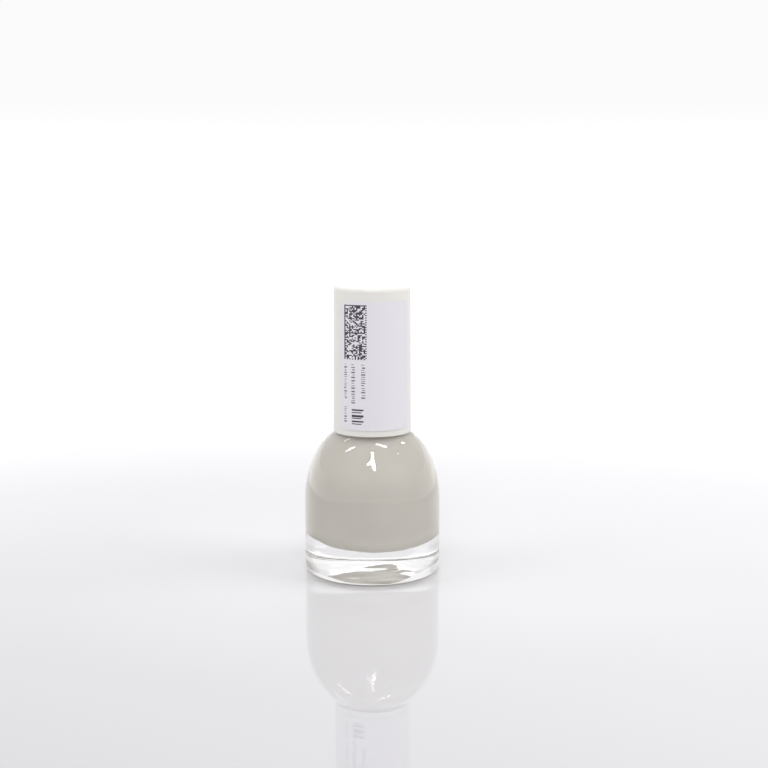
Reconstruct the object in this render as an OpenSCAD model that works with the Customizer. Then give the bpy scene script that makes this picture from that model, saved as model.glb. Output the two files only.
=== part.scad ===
// Nail polish bottle: a clear glass bottle with a dome shoulder and a thick base,
// filled with lacquer and closed by a tall screw cap that carries the brush.
// Origin at the centre of the base, +Z up, the label faces -Y. Millimetres.

/* [Glass bottle] */
// Outer radius of the straight lower body
body_r = 15; // [14.6:0.1:16]
// Height at which the straight body turns into the dome
body_h = 14.9; // [13:0.1:17]
// Height of the dome's curve above the straight body
dome_h = 18.47; // [17.5:0.01:19.5]
// Roundness of the dome: 2 is an ellipse, more is squarer
dome_n = 2.247; // [2.1:0.001:2.4]
// Thickness of the glass side wall
wall = 1.9; // [1.6:0.1:2.2]
// Thickness of the clear glass base under the lacquer
floor_h = 6.2; // [5:0.1:8]
// Rounding of the base's outer edge
edge_r = 1; // [0.7:0.1:1.2]
// Depth of the hollow just inside the foot ring
recess_h = 0.4; // [0.2:0.05:0.5]
// How far the cavity stays straight above the top of the straight body
cav_up = 3.1; // [0:0.1:3.5]
// Height of the push-up in the middle of the hollow
push_h = 1.4; // [0.8:0.1:2.2]

/* [Neck and thread] */
// Radius of the neck between the threads
neck_r = 5.7; // [5.6:0.05:5.75]
// Radius of the hole through the neck
bore_r = 3.7; // [3.4:0.05:4]
// Height of the neck's rim above the cap's lower edge
neck_h = 11.67; // [11.4:0.01:12]
// Rise of the thread in one turn
pitch = 2.1167; // [2.05:0.0001:2.2]
// Turns of thread on the glass
thread_turns = 1.75; // [1.5:0.25:1.75]

/* [Cap] */
// Outer radius of the cap at its lower edge
cap_r0 = 8.56; // [8.45:0.01:8.8]
// Outer radius of the cap at its top
cap_r1 = 8.4; // [8.15:0.01:8.45]
// Height of the cap
cap_h = 32; // [30:0.1:36]
// Radius of the bore that takes the threaded insert
cap_bore_r = 7.42; // [7.4:0.01:7.5]
// Rounding of the cap's top edge
cap_edge = 0.9; // [0.4:0.1:1]
// Thickness of the cap's top
cap_top = 1.2; // [1:0.1:2]
// Gap between the glass shoulder and the cap's lower edge
cap_gap = 0.35; // [0.3:0.01:0.8]

/* [Brush] */
// Length of the stem below its flange
stem_len = 23.5; // [21:0.1:26]
// Radius of the stem at its flange
stem_r = 1.75; // [1.7:0.05:1.9]
// Largest radius of the bristle tuft
tuft_r = 1.45; // [1.3:0.05:1.6]
// Clearance between the bristle tips and the bottle's floor
tip_gap = 1.2; // [0.9:0.1:3]

/* [Contents] */
// How far the lacquer's surface lies below the cap's lower edge
fill_drop = 0.55; // [0.5:0.05:8]
// Diameter of a mixing ball
ball_d = 4.5; // [3:0.1:4.6]
// Number of mixing balls
ball_n = 2; // [1:1:3]

/* [Label] */
// Angle of the label's left edge from the front
label_left = 53; // [45:1:80]
// Angle of the label's right edge from the front
label_right = 62; // [48:1:80]
// Height of the label's lower edge above the cap's lower edge
label_up = 1.4; // [0.6:0.1:1.6]
// Height of the label
label_h = 27.7; // [26:0.1:28.2]
// Thickness of the label's paper
paper_t = 0.1; // [0.08:0.01:0.15]

/* [Hidden] */
$fn = 96;

// ---- shoulder curve: a superellipse that eases to a level land round the neck
function dome_z(r, R, H) = body_h + H * pow(1 - pow(r / R, dome_n), 1 / dome_n);
function dome_r(z, R, H, up = 0) = R * pow(1 - pow((z - body_h - up) / H, dome_n), 1 / dome_n);
function dome_slope(r, R, H) = H / R * pow(r / R, dome_n - 1)
    * pow(1 - pow(r / R, dome_n), 1 / dome_n - 1);
land_r = 9.4;                       // radius where the dome starts to ease off
land_l = land_r - neck_r - 0.22;    // length over which it becomes level
land_z = dome_z(land_r, body_r, dome_h);
land_s = dome_slope(land_r, body_r, dome_h);
function land(t) = land_z + land_s * t * (1 - t / (2 * land_l));

// ---- heights
cap_z0 = land(land_r - cap_r0) + cap_gap;   // lower edge of the cap
cap_z1 = cap_z0 + cap_h;                    // top of the cap
neck_z = cap_z0 + neck_h;                   // rim of the glass
seal_t = 0.5;                               // height left for the washer
flange_t = 0.78;                            // brush flange
disc_z = neck_z + seal_t + 0.8;             // underside of the insert's top
disc_t = 1.5;
insert_z0 = cap_z0 + 0.97;                  // lower edge of the insert
insert_z1 = disc_z + disc_t;
stem_z0 = neck_z + seal_t - stem_len;       // lower end of the stem
tip_z = floor_h + tip_gap;                  // bristle tips
fill_z = cap_z0 - fill_drop;                // lacquer surface

// ---- cavity
cav_r = body_r - wall;
cav_h = dome_h - 1.87 - cav_up;
cav_corner = 5.5;
skin = 0.02;                                // lacquer lies this far inside the glass
well_r = 2.3;                               // lacquer pushed aside by the brush

// ---- thread
thread_h = 0.75;
thread_z0 = neck_z - 4.9;
step = 10;
insert_wall_r = 6.65;
insert_crest_r = 6;
insert_drop = 0.79;                         // insert's thread below the glass thread

// ---- brush seat
hole_r = 1.15;
hole_d = 6;
staple = [2.7, 0.3, 1.5];
staple_z = stem_z0 + 4.2;

// ---- mixing balls
ball_r = ball_d / 2;
ball_orbit = cav_r - cav_corner - 1.4;
ball_z = floor_h + ball_r + 0.1;

// ---- cap cone and the layers on it
function cap_r(z) = cap_r0 + (cap_r1 - cap_r0) * (z - cap_z0) / cap_h;
label_z0 = cap_z0 + label_up;
label_z1 = label_z0 + label_h;
label_mid = (label_z0 + label_z1) / 2;
front = -90;

// points of an arc of radius r round [x, z], from angle a to angle b
function arc(x, z, r, a, b, n = 8) =
    [for (i = [0:n]) let (t = a + (b - a) * i / n) [x + r * cos(t), z + r * sin(t)]];

// points of a dome curve of base radius R and height H, from the base up to angle t1
function dome(R, H, t1, n, up = 0) =
    [for (i = [0:n]) let (t = t1 * i / n)
        [R * pow(cos(t), 2 / dome_n), body_h + up + H * pow(sin(t), 2 / dome_n)]];
function dome_t(r, R) = acos(pow(r / R, dome_n / 2));
function reversed(v) = [for (i = [len(v) - 1:-1:0]) v[i]];

// a single-start right-hand thread ridge that fades into the wall at both ends
module ridge(n, a0, z0, rb, rc, re, wb, wc, fade) {
    pts = [for (i = [0:n])
        let (a = a0 + i * step, z = z0 + pitch * i * step / 360,
             f = min(1, i * step / fade, (n - i) * step / fade),
             r1 = re + (rc - re) * f)
        each [[rb * cos(a), rb * sin(a), z - wb / 2], [r1 * cos(a), r1 * sin(a), z - wc / 2],
              [r1 * cos(a), r1 * sin(a), z + wc / 2], [rb * cos(a), rb * sin(a), z + wb / 2]]];
    sides = [for (i = [0:n - 1], j = [0:3])
        let (p = 4 * i + j, q = 4 * i + (j + 1) % 4)
        each [[p, q, q + 4], [p, q + 4, p + 4]]];
    ends = [[3, 2, 1], [3, 1, 0], [4 * n, 4 * n + 1, 4 * n + 2], [4 * n, 4 * n + 2, 4 * n + 3]];
    polyhedron(points = pts, faces = concat(sides, ends));
}

// a layer on the cap's cone between two heights and two angles from the front
module layer(z0, z1, left, right, t0, t1) {
    rotate_extrude(angle = left + right, start = front - left)
        polygon([[cap_r(z0) + t0, z0], [cap_r(z0) + t1, z0],
                 [cap_r(z1) + t1, z1], [cap_r(z1) + t0, z1]]);
}

module glass_bottle() {
    foot = body_r - edge_r - 0.4;       // inner edge of the foot ring
    cone = foot - 0.9;
    outer = concat(
        // push-up: a low cone with a round tip, then the flank of the foot ring
        [for (i = [0:10]) let (r = cone * i / 10)
            [r, recess_h + push_h * (1 - (sqrt(r * r + 2.25) - 1.5) / (sqrt(cone * cone + 2.25) - 1.5))]],
        [[foot - 0.6, recess_h * 0.85], [foot - 0.2, recess_h * 0.15], [foot, 0]],
        arc(body_r - edge_r, edge_r, edge_r, -90, 0),
        dome(body_r, dome_h, dome_t(land_r, body_r), 36),
        [for (i = [1:8]) let (t = land_l * i / 8) [land_r - t, land(t)]],
        [[neck_r + 0.08, land(land_l) + 0.06], [neck_r, land(land_l) + 0.22],
         [neck_r, neck_z - 0.4], [neck_r - 0.12, neck_z - 0.12], [neck_r - 0.4, neck_z]]);
    inner = concat(
        [[bore_r + 0.4, neck_z], [bore_r + 0.12, neck_z - 0.12], [bore_r, neck_z - 0.4]],
        reversed(dome(cav_r, cav_h, dome_t(bore_r, cav_r), 32, cav_up)),
        reversed(arc(cav_r - cav_corner, floor_h + cav_corner, cav_corner, -90, 0)),
        [[0, floor_h]]);
    color("azure", 0.35) {
        union() {
            rotate_extrude() polygon(concat(outer, inner));
            ridge(round(thread_turns * 360 / step), 0, thread_z0,
                  neck_r - 0.25, neck_r + thread_h, neck_r - 0.1, 1.57, 0.5, 40);
        }
    }
}

module lacquer_fill() {
    R = cav_r - skin;
    H = cav_h - skin;
    c = cav_corner - skin;
    profile = concat(
        [[0, floor_h + skin], [R - c, floor_h + skin]],
        arc(R - c, floor_h + skin + c, c, -90, 0),
        dome(R, H, dome_t(dome_r(fill_z, R, H, cav_up), R), 28, cav_up),
        [[well_r, fill_z], [well_r, tip_z - 0.4], [0, tip_z - 0.4]]);
    color([0.73, 0.72, 0.69])
        difference() {
            rotate_extrude() polygon(profile);
            // groove that the balls run in
            rotate_extrude() translate([ball_orbit, ball_z]) circle(r = ball_r + 0.25);
        }
}

module mixing_balls() {
    color("silver")
        for (i = [0:ball_n - 1])
            rotate([0, 0, 20 + 360 * i / ball_n]) translate([ball_orbit, 0, ball_z]) sphere(r = ball_r);
}

module outer_cap() {
    ceiling = cap_z1 - cap_top;
    e = cap_edge;
    profile = concat(
        [[cap_bore_r + 0.63, cap_z0], [cap_r0 - 0.12, cap_z0], [cap_r0, cap_z0 + 0.12]],
        arc(cap_r1 - e, cap_z1 - e, e, 0, 90, 8),
        [[0, cap_z1], [0, ceiling], [cap_bore_r - 0.5, ceiling], [cap_bore_r - 0.15, ceiling - 0.15],
         [cap_bore_r - 0.1, ceiling - 0.5], [cap_bore_r, insert_z1], [cap_bore_r, cap_z0 + 0.87]]);
    color([0.87, 0.86, 0.84])
        union() {
            rotate_extrude() polygon(profile);
            // stop ribs above the threaded insert
            for (i = [0:5])
                rotate([0, 0, 60 * i]) translate([5.4, -0.35, insert_z1 + 0.03])
                    cube([cap_bore_r - 5.4 + 0.2, 0.7, ceiling - insert_z1]);
            // ring under the top that the ribs run into
            translate([0, 0, ceiling - 0.6]) difference() {
                cylinder(r = 4.4, h = 0.9);
                translate([0, 0, -1]) cylinder(r = 3.6, h = 3);
            }
        }
}

module inner_cap() {
    skirt_r = 7.12;
    profile = [[insert_wall_r + 0.2, insert_z0], [skirt_r, insert_z0], [skirt_r, insert_z1 - 0.4],
               [skirt_r - 0.4, insert_z1], [2.25, insert_z1], [2.25, disc_z], [insert_wall_r - 0.3, disc_z],
               [insert_wall_r, disc_z - 0.3], [insert_wall_r, insert_z0 + 0.4]];
    color([0.9, 0.9, 0.89])
        union() {
            rotate_extrude() polygon(profile);
            // ribs that key into the cap's bore
            for (i = [0:23])
                rotate([0, 0, 15 * i]) translate([skirt_r - 0.2, -0.3, insert_z0 + 0.6])
                    cube([7.38 - skirt_r + 0.2, 0.6, insert_z1 - insert_z0 - 1.4]);
            ridge(round(2.4 * 360 / step), -290, thread_z0 - insert_drop - pitch * 290 / 360,
                  insert_wall_r + 0.2, insert_crest_r, insert_wall_r + 0.08, -1.05, -0.4, 40);
        }
}

module seal_washer() {
    color([0.93, 0.93, 0.9])
        rotate_extrude()
            polygon([[2.15, neck_z + 0.02], [5.7, neck_z + 0.02], [5.85, neck_z + 0.12],
                     [5.85, neck_z + seal_t - 0.12], [5.7, neck_z + seal_t - 0.02], [2.15, neck_z + seal_t - 0.02]]);
}

module brush_stem() {
    z = neck_z + seal_t;
    tip_r = stem_r - 0.2;
    color([0.88, 0.88, 0.87])
        difference() {
            rotate_extrude()
                polygon([[0, stem_z0], [tip_r - 0.2, stem_z0], [tip_r, stem_z0 + 0.25],
                         [stem_r, z], [5.5, z], [5.6, z + 0.1], [5.6, z + flange_t - 0.1],
                         [5.5, z + flange_t], [2.2, z + flange_t], [2.2, insert_z1 + 0.03],
                         [2.55, insert_z1 + 0.03], [2.55, insert_z1 + 0.35], [1.9, insert_z1 + 1.4],
                         [0, insert_z1 + 1.4]]);
            // blind hole for the bristles and the slot for their anchor
            translate([0, 0, stem_z0 - 1]) cylinder(r = hole_r, h = hole_d + 1);
            translate([-staple.x / 2 - 0.02, -staple.y / 2 - 0.02, staple_z - 0.02])
                cube(staple + [0.04, 0.04, 0.04]);
        }
}

module bristle_tuft() {
    belly_z = tip_z + 0.42 * (stem_z0 - tip_z);
    root_r = hole_r - 0.03;
    // free bristles swell to a belly and close in a rounded tip
    profile = concat(
        [[0, tip_z]],
        [for (i = [1:7]) let (t = 90 * i / 7) [0.86 * tuft_r * sin(t), tip_z + 1.3 * (1 - cos(t))]],
        [[tuft_r, belly_z], [0.95 * tuft_r, (belly_z + stem_z0) / 2], [root_r, stem_z0 - 0.4],
         [root_r, stem_z0 + hole_d - 0.35], [root_r - 0.3, stem_z0 + hole_d - 0.05], [0, stem_z0 + hole_d - 0.05]]);
    color([0.2, 0.2, 0.2])
        difference() {
            rotate_extrude() polygon(profile);
            translate([-staple.x, -staple.y / 2 - 0.02, staple_z - 0.02])
                cube([2 * staple.x, staple.y + 0.04, staple.z + 0.04]);
        }
}

module bristle_staple() {
    color("goldenrod")
        translate([-staple.x / 2, -staple.y / 2, staple_z]) cube(staple);
}

// trims one corner of the label with flats that follow a round of radius r
module corner_trim(a, z, s, up, r = 0.7) {
    rotate([0, 0, front + a]) translate([cap_r0 - 1, 0, z]) rotate([0, 90, 0])
        translate([up * r, -s * r, 0])
            for (t = [22.5, 67.5])
                rotate([0, 0, atan2(s * sin(t), -up * cos(t))])
                    translate([r, -2, 0]) cube([2, 4, 3]);
}

module cap_label() {
    color("white")
        difference() {
            layer(label_z0, label_z1, label_left, label_right, 0.05, 0.05 + paper_t);
            corner_trim(-label_left, label_z1, -1, 1);
            corner_trim(label_right, label_z1, 1, 1);
            corner_trim(-label_left, label_z0, -1, -1);
            corner_trim(label_right, label_z0, 1, -1);
        }
}

module label_antenna() {
    half = 10.4;        // half the antenna's height
    color("silver")
        difference() {
            layer(label_mid - half, label_mid + half, 36, 43, 0.012, 0.042);
            // slots from alternate sides leave a meandering strip
            for (s = [-1, 1], i = [0:3])
                let (z = label_mid + s * (3.4 + 1.9 * i))
                layer(z - 0.4, z + 0.4, i % 2 == 0 ? 60 : 30, i % 2 == 0 ? 37 : 60, -0.5, 0.5);
            // matching loop round the chip
            layer(label_mid - 2, label_mid + 2, 22, 29, -0.5, 0.5);
            layer(label_mid - 0.35, label_mid + 0.35, -24, 60, -0.5, 0.5);
        }
}

module label_chip() {
    color([0.15, 0.15, 0.17])
        layer(label_mid - 0.3, label_mid + 0.3, -33, 37, 0.012, 0.042);
}

glass_bottle();
lacquer_fill();
mixing_balls();
outer_cap();
inner_cap();
seal_washer();
brush_stem();
bristle_tuft();
bristle_staple();
cap_label();
label_antenna();
label_chip();
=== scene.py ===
import math
import random

import bmesh
import bpy
import numpy as np
from mathutils import Matrix, Vector


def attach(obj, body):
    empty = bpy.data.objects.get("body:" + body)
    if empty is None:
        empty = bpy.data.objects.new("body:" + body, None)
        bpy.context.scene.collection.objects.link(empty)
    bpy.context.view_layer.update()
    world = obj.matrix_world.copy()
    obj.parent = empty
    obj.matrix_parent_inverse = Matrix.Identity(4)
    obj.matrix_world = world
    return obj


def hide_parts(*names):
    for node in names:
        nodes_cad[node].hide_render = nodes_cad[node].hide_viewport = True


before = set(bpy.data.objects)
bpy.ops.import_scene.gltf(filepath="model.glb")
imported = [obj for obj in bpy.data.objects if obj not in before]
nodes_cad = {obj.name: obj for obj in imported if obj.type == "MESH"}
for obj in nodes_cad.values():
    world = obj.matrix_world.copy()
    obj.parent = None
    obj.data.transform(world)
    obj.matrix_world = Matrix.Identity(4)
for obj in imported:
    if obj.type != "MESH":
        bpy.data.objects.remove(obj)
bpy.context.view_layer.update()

scene = bpy.context.scene

# ---------------------------------------------------------------------------
# Dimensions in millimetres, as the construction has them
# ---------------------------------------------------------------------------
BODY_R, BODY_H = 15.0, 14.9
DOME_H, DOME_N = 18.47, 2.247
WALL, FLOOR_H = 1.9, 6.2
NECK_R, BORE_R = 5.7, 3.7
PITCH = 2.1167
LAND_R = 9.4


def dome_z(r, R, H):
    return BODY_H + H * (1 - (r / R) ** DOME_N) ** (1 / DOME_N)


def dome_r(z, R, H, up=0.0):
    return R * (1 - ((z - BODY_H - up) / H) ** DOME_N) ** (1 / DOME_N)


LAND_L = LAND_R - NECK_R - 0.22
LAND_Z = dome_z(LAND_R, BODY_R, DOME_H)
LAND_S = (DOME_H / BODY_R * (LAND_R / BODY_R) ** (DOME_N - 1)
          * (1 - (LAND_R / BODY_R) ** DOME_N) ** (1 / DOME_N - 1))


def land(t):
    return LAND_Z + LAND_S * t * (1 - t / (2 * LAND_L))


CAP_R0, CAP_R1, CAP_H, CAP_E = 8.56, 8.40, 32.0, 0.9
CAP_Z0 = land(LAND_R - CAP_R0) + 0.35
CAP_Z1 = CAP_Z0 + CAP_H
NECK_Z = CAP_Z0 + 11.67
DISC_Z = NECK_Z + 1.3
INSERT_Z0, INSERT_Z1 = CAP_Z0 + 0.97, DISC_Z + 1.5
STEM_Z0 = NECK_Z + 0.5 - 23.5
TIP_Z = FLOOR_H + 1.2
FILL_Z = CAP_Z0 - 0.55
CAV_UP = 3.1                       # straight part of the cavity above the body's
CAV_R, CAV_H, CAV_C = BODY_R - WALL, DOME_H - 1.87 - CAV_UP, 5.5
THREAD_Z0 = NECK_Z - 4.9


def cap_r(z):
    return CAP_R0 + (CAP_R1 - CAP_R0) * (z - CAP_Z0) / CAP_H


def smooth(a, b, x):
    t = np.clip((x - a) / (b - a), 0, 1)
    return t * t * (3 - 2 * t)


# ---------------------------------------------------------------------------
# Mesh helpers
# ---------------------------------------------------------------------------
def arc(x, z, r, a, b, n):
    out = []
    for i in range(n + 1):
        t = math.radians(a + (b - a) * i / n)
        out.append((x + r * math.cos(t), z + r * math.sin(t)))
    return out


def dome(R, H, t1, n, up=0.0):
    out = []
    for i in range(n + 1):
        t = t1 * i / n
        out.append((R * max(math.cos(t), 0) ** (2 / DOME_N),
                    BODY_H + up + H * math.sin(t) ** (2 / DOME_N)))
    return out


def dome_t(r, R):
    return math.acos((r / R) ** (DOME_N / 2))


def line(p, q, n):
    return [(p[0] + (q[0] - p[0]) * i / n, p[1] + (q[1] - p[1]) * i / n) for i in range(n + 1)]


def join(*parts):
    """Profiles end to end, without repeated points."""
    out = []
    for part in parts:
        for p in part:
            if not out or math.hypot(p[0] - out[-1][0], p[1] - out[-1][1]) > 1e-5:
                out.append((float(p[0]), float(p[1])))
    return out


def build(name, verts, faces, materials, face_mat=None, sharp=40.0):
    """A smooth-shaded mesh object from millimetre points."""
    me = bpy.data.meshes.new(name)
    me.from_pydata((np.asarray(verts, float) * 0.001).tolist(), [], faces)
    for m in materials:
        me.materials.append(m)
    if face_mat is not None:
        me.polygons.foreach_set("material_index", np.asarray(face_mat, np.int32))
    me.polygons.foreach_set("use_smooth", np.ones(len(me.polygons), bool))
    me.validate()
    me.update()
    if sharp:
        me.set_sharp_from_angle(angle=math.radians(sharp))
    ob = bpy.data.objects.new(name, me)
    scene.collection.objects.link(ob)
    return ob


def lathe(profile, seg, shape=None, loop=False, mat_of=None):
    """Turns a profile about Z. shape(r, z, a) may move each ring's points and returns (r, z).
    Points with r = 0 become single poles. Returns verts, faces and a material index for each face."""
    a = np.arange(seg) * 2 * math.pi / seg
    verts, ring = [], []
    for r, z in profile:
        if r < 1e-6:
            zz = z
            if shape is not None:
                zz = float(np.mean(shape(np.zeros(1), np.full(1, z), np.zeros(1))[1]))
            ring.append([len(verts)])
            verts.append((0.0, 0.0, zz))
            continue
        rr, zz = np.full(seg, r), np.full(seg, z)
        if shape is not None:
            rr, zz = shape(rr, zz, a)
        ring.append(list(range(len(verts), len(verts) + seg)))
        verts.extend(np.stack([rr * np.cos(a), rr * np.sin(a), zz], 1).tolist())
    faces, mats = [], []
    pairs = [(i, i + 1) for i in range(len(profile) - 1)]
    if loop:
        pairs.append((len(profile) - 1, 0))
    for i, k in pairs:
        p, q = ring[i], ring[k]
        m = mat_of(i) if mat_of else 0
        for j in range(seg):
            n = (j + 1) % seg
            if len(p) == 1 and len(q) == 1:
                continue
            if len(p) == 1:
                faces.append((p[0], q[n], q[j]))
            elif len(q) == 1:
                faces.append((p[j], p[n], q[0]))
            else:
                faces.append((p[j], p[n], q[n], q[j]))
            mats.append(m)
    return verts, faces, mats


# ---------------------------------------------------------------------------
# Material helpers
# ---------------------------------------------------------------------------
class Mat:
    """A small builder for one node material round a Principled shader."""

    def __init__(self, name, color=(0.8, 0.8, 0.8), rough=0.5, **sockets):
        self.m = bpy.data.materials.new(name)
        self.m.use_nodes = True
        self.t = self.m.node_tree
        self.p = next(n for n in self.t.nodes if n.type == "BSDF_PRINCIPLED")
        self.out = next(n for n in self.t.nodes if n.type == "OUTPUT_MATERIAL")
        self.p.inputs["Base Color"].default_value = (*color, 1)
        self.p.inputs["Roughness"].default_value = rough
        for k, v in sockets.items():
            self.p.inputs[k.replace("_", " ")].default_value = v
        self.co = None

    def add(self, kind, **values):
        n = self.t.nodes.new(kind)
        for k, v in values.items():
            setattr(n, k, v)
        return n

    def link(self, a, b):
        self.t.links.new(a, b)

    def coords(self):
        if self.co is None:
            self.co = self.add("ShaderNodeTexCoord").outputs["Object"]
        return self.co

    def noise(self, scale, detail=4.0, rough=0.55, stretch=None, distortion=0.0):
        """Noise in object space, scale in features per metre."""
        n = self.add("ShaderNodeTexNoise")
        n.inputs["Scale"].default_value = scale
        n.inputs["Detail"].default_value = detail
        n.inputs["Roughness"].default_value = rough
        n.inputs["Distortion"].default_value = distortion
        src = self.coords()
        if stretch is not None:
            mp = self.add("ShaderNodeMapping")
            mp.inputs["Scale"].default_value = stretch
            self.link(src, mp.inputs["Vector"])
            src = mp.outputs["Vector"]
        self.link(src, n.inputs["Vector"])
        return n.outputs["Fac"]

    def ramp(self, fac, stops):
        r = self.add("ShaderNodeValToRGB")
        el = r.color_ramp.elements
        while len(el) < len(stops):
            el.new(0.5)
        for e, (pos, col) in zip(el, stops):
            e.position = pos
            e.color = (*col, 1) if len(col) == 3 else col
        self.link(fac, r.inputs["Fac"])
        return r.outputs["Color"]

    def span(self, fac, lo, hi, a=0.0, b=1.0):
        m = self.add("ShaderNodeMapRange")
        for k, v in (("From Min", a), ("From Max", b), ("To Min", lo), ("To Max", hi)):
            m.inputs[k].default_value = v
        self.link(fac, m.inputs["Value"])
        return m.outputs["Result"]

    def math(self, op, a, b=None, c=None):
        m = self.add("ShaderNodeMath", operation=op)
        for i, v in enumerate((a, b, c)):
            if v is None:
                continue
            if isinstance(v, (int, float)):
                m.inputs[i].default_value = v
            else:
                self.link(v, m.inputs[i])
        return m.outputs[0]

    def mix(self, fac, a, b):
        m = self.add("ShaderNodeMix", data_type="RGBA")
        if isinstance(fac, (int, float)):
            m.inputs[0].default_value = fac
        else:
            self.link(fac, m.inputs[0])
        for i, v in ((6, a), (7, b)):
            if isinstance(v, tuple):
                m.inputs[i].default_value = (*v, 1)
            else:
                self.link(v, m.inputs[i])
        return m.outputs[2]

    def bump(self, height, strength, distance):
        b = self.add("ShaderNodeBump")
        b.inputs["Strength"].default_value = strength
        b.inputs["Distance"].default_value = distance
        self.link(height, b.inputs["Height"])
        self.link(b.outputs["Normal"], self.p.inputs["Normal"])

    def to(self, socket, value):
        self.link(value, self.p.inputs[socket])


# ---------------------------------------------------------------------------
# Camera: at the photograph's height, distance and tilt
# ---------------------------------------------------------------------------
cam_data = bpy.data.cameras.new("camera")
cam_data.sensor_fit = "HORIZONTAL"
cam_data.sensor_width = 36.0
cam_data.lens = 36.0 * 1245.0 / 768.0
cam_data.clip_start, cam_data.clip_end = 0.01, 50.0
cam = bpy.data.objects.new("camera", cam_data)
cam.location = (0.0026, -0.2714, 0.0824)
cam.rotation_euler = (math.radians(90 - 8.57), 0, 0)
scene.collection.objects.link(cam)
scene.camera = cam

# ---------------------------------------------------------------------------
# Materials
# ---------------------------------------------------------------------------
# clear flint glass with a faint unevenness in its polish
glass = Mat("clear_glass", (1.0, 1.0, 1.0), 0.0, IOR=1.52, Transmission_Weight=1.0)
glass.bump(glass.noise(130, 2.0, 0.5), 0.05, 0.0006)

# cream lacquer: opaque, with very faint settling clouds, painted shade in a band round the top of the wall, painted
# light low down, painted shade on its underside, and wet where it is free
lacq = Mat("grey_lacquer", (0.631, 0.607, 0.561), 0.35, IOR=1.5, Specular_IOR_Level=0.0)
cloud = lacq.noise(95, 5.0, 0.6, (1, 1, 0.55), 0.8)
lacq_col = lacq.ramp(cloud, [(0.30, (0.619, 0.595, 0.549)), (0.50, (0.631, 0.607, 0.561)), (0.72, (0.642, 0.619, 0.574))])
low = lacq.add("ShaderNodeSeparateXYZ")
lacq.link(lacq.coords(), low.inputs[0])
# painted light: the lacquer is painted paler towards the cavity floor, lifting the shade in its lower corner
low_painted_light = lacq.add("ShaderNodeMapRange", interpolation_type="SMOOTHSTEP")
for k, v in (("From Min", 0.0120), ("From Max", 0.0064), ("To Min", 0.0), ("To Max", 1.0)):
    low_painted_light.inputs[k].default_value = v
lacq.link(low.outputs["Z"], low_painted_light.inputs["Value"])
# painted shade: a band round the top of the straight wall and the foot of the dome is painted darker
dome_painted_shade = lacq.math("MULTIPLY", lacq.span(low.outputs["Z"], 0.0, 1.0, 0.0120, 0.0170), lacq.span(low.outputs["Z"], 1.0, 0.0, 0.0185, 0.0230))
lacq_col = lacq.mix(lacq.math("MULTIPLY", dome_painted_shade, 0.38), lacq_col, (0.568, 0.546, 0.505))
lacq_col = lacq.mix(low_painted_light.outputs["Result"], lacq_col, (0.795, 0.769, 0.722))
# painted shade: the lacquer's underside on the cavity floor is painted darker
reach = lacq.math("SQRT", lacq.math("ADD", lacq.math("MULTIPLY", low.outputs["X"], low.outputs["X"]),
                                    lacq.math("MULTIPLY", low.outputs["Y"], low.outputs["Y"])))
floor_in = lacq.add("ShaderNodeMapRange", interpolation_type="SMOOTHSTEP")
for k, v in (("From Min", 0.0084), ("From Max", 0.0076), ("To Min", 0.0), ("To Max", 1.0)):
    floor_in.inputs[k].default_value = v
lacq.link(reach, floor_in.inputs["Value"])
underside_painted_shade = lacq.math("MULTIPLY", floor_in.outputs["Result"], lacq.span(low.outputs["Z"], 1.0, 0.0, 0.0065, 0.0071))
lacq.to("Base Color", lacq.mix(underside_painted_shade, lacq_col, (0.605, 0.590, 0.545)))
lacq.to("Roughness", lacq.span(cloud, 0.32, 0.40))

lacq_top = Mat("grey_lacquer_surface", (0.616, 0.593, 0.549), 0.06, IOR=1.5, Coat_Weight=0.5, Coat_Roughness=0.03)
cloud = lacq_top.noise(180, 3.0, 0.5)
lacq_top.to("Base Color", lacq_top.ramp(cloud, [(0.3, (0.602, 0.579, 0.534)), (0.7, (0.629, 0.606, 0.563))]))
lacq_top.bump(lacq_top.noise(260, 2.0, 0.4), 0.08, 0.0004)

# off-white moulded cap: satin skin, faint flow marks and a fine spark texture
capm = Mat("cap_plastic", (0.661, 0.649, 0.614), 0.42, IOR=1.49, Specular_IOR_Level=0.2, Subsurface_Weight=0.08, Subsurface_Scale=0.0012)
flow = capm.noise(60, 4.0, 0.6, (1, 1, 0.16), 0.4)
cap_col = capm.ramp(flow, [(0.3, (0.649, 0.637, 0.601)), (0.52, (0.661, 0.649, 0.614)), (0.75, (0.671, 0.659, 0.626))])
# painted light: the flat top is painted a shade paler
cap_at = capm.add("ShaderNodeSeparateXYZ")
capm.link(capm.coords(), cap_at.inputs[0])
capm.to("Base Color", capm.mix(capm.span(cap_at.outputs["Z"], 0.0, 1.0, 0.0627, 0.0631), cap_col, (0.700, 0.694, 0.672)))
fine = capm.noise(5200, 3.0, 0.6)
capm.to("Roughness", capm.span(fine, 0.36, 0.50, 0.3, 0.7))
capm.bump(fine, 0.10, 0.00004)

insert = Mat("insert_plastic", (0.84, 0.84, 0.815), 0.45, IOR=1.49, Subsurface_Weight=0.15, Subsurface_Scale=0.0015)
flow = insert.noise(140, 4.0, 0.6, (1, 1, 0.3))
insert.to("Base Color", insert.ramp(flow, [(0.3, (0.815, 0.815, 0.79)), (0.7, (0.855, 0.855, 0.835))]))
fine = insert.noise(3600, 3.0, 0.6)
insert.to("Roughness", insert.span(fine, 0.38, 0.55, 0.3, 0.7))
insert.bump(fine, 0.12, 0.00005)

seal = Mat("seal_plastic", (0.86, 0.86, 0.83), 0.38, IOR=1.51, Subsurface_Weight=0.25, Subsurface_Scale=0.001)
flow = seal.noise(900, 3.0, 0.6)
seal.to("Base Color", seal.ramp(flow, [(0.3, (0.83, 0.83, 0.795)), (0.7, (0.87, 0.87, 0.845))]))
seal.bump(seal.noise(2600, 2.0), 0.10, 0.00005)

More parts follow.
